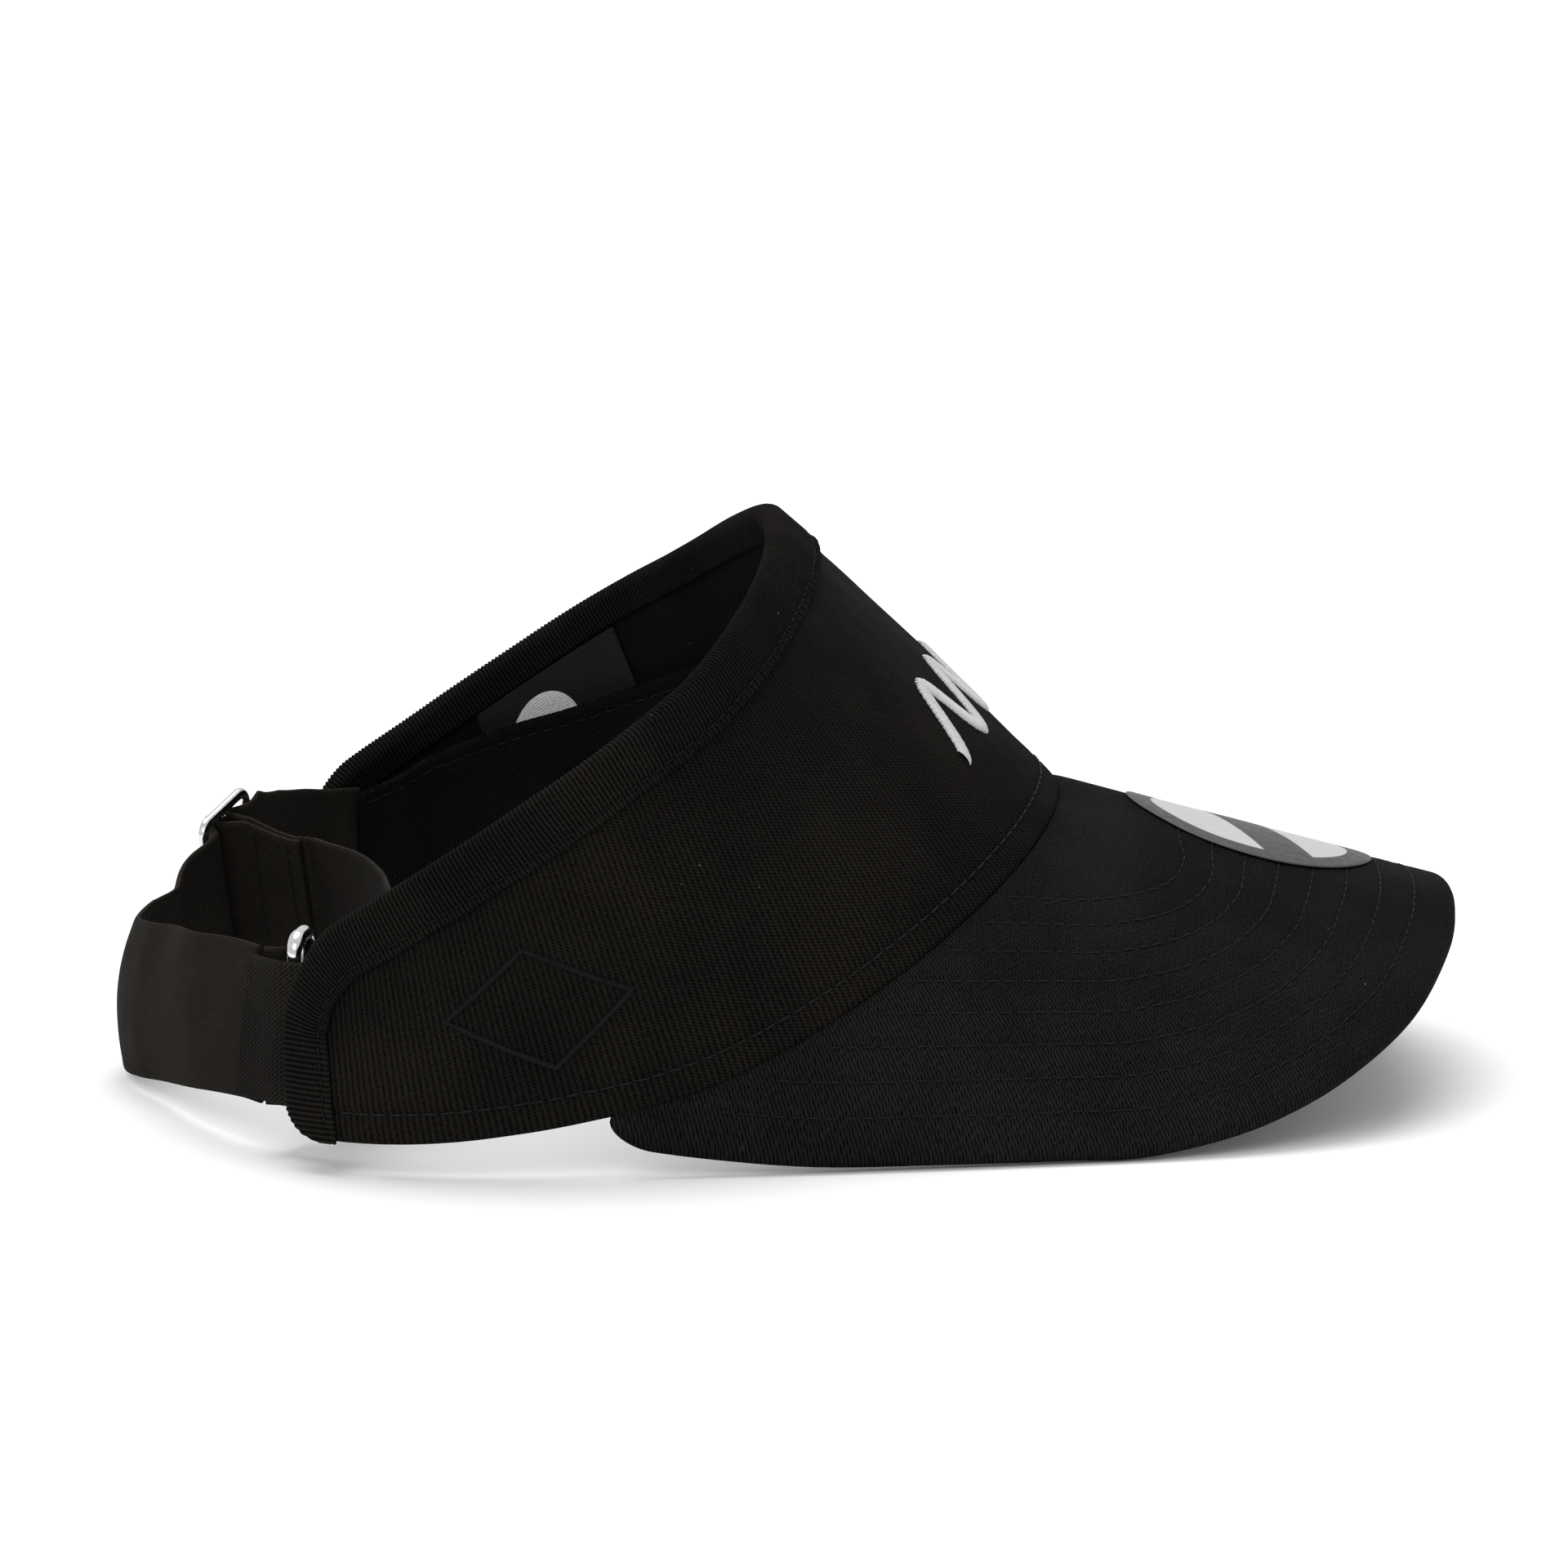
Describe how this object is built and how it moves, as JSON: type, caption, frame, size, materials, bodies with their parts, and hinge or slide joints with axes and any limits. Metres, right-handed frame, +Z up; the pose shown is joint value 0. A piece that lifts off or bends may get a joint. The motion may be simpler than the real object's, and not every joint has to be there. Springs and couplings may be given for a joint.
{
  "type": "sun visor",
  "caption": "Open-crown sun visor with a curved stitched brim, bound crown panel, sweatband, and a rear strap running through a chrome slider and ring.",
  "frame": {"origin": "on the floor under the middle of the visor's bounding box, as it rests on the sides of its brim and the back of its strap", "axes": "+X towards the front of the brim, +Y towards the wearer's left, +Z up"},
  "size_m": [0.2282, 0.1732, 0.0954],
  "materials": {
    "black_twill": "soft black cotton twill",
    "black_lining": "black cotton lining",
    "ribbed_tape": "ribbed black binding tape",
    "brim_board": "moulded sheet",
    "sweatband_cloth": "blue-black sweatband cloth",
    "label_satin": "grey woven satin",
    "sticker_film": "satin silver film",
    "white_thread": "white satin stitch",
    "black_thread": "black thread",
    "brim_thread": "grey-black thread",
    "strap_satin": "black satin-weave webbing",
    "polished_chrome": "polished chrome plate"
  },
  "bodies": {
    "visor": {"crown_panel": "black_twill", "crown_backing": "black_lining", "top_binding": "ribbed_tape", "binding_stitching": "black_thread", "hem_stitching": "black_thread", "sweatband": "sweatband_cloth", "sweatband_stitching": "black_thread", "woven_label": "label_satin", "front_embroidery": "white_thread", "side_embroidery": "black_thread", "brim_top_cover": "black_twill", "brim_board": "brim_board", "brim_under_cover": "black_lining", "brim_stitch_row_1": "brim_thread", "brim_stitch_row_2": "brim_thread", "brim_stitch_row_3": "brim_thread", "brim_stitch_row_4": "brim_thread", "brim_stitch_row_5": "brim_thread", "brim_stitch_row_6": "brim_thread", "brim_stitch_row_7": "brim_thread", "brim_stitch_row_8": "brim_thread", "brim_sticker": "sticker_film", "strap_back": "strap_satin", "strap_far": "strap_satin", "strap_return": "strap_satin", "ring_loop": "black_twill", "strap_cover_tab": "black_twill"},
    "slider_body": {"slider": "polished_chrome", "strap_end_loop": "strap_satin"},
    "ring_body": {"ring": "polished_chrome"}
  },
  "joints": [
    {"name": "slider_slide", "type": "slide", "parent": "visor", "child": "slider_body", "axis": [0.4299, 0.8598, 0.2756], "range_m": [-0.008, 0.008], "deforming": ["strap_far", "strap_return"]},
    {"name": "ring_swivel", "type": "hinge", "parent": "visor", "child": "ring_body", "pos_m": [-0.08253, -0.06342, 0.02007], "axis": [0, 0, 1], "range_deg": [-25, 20]}
  ]
}
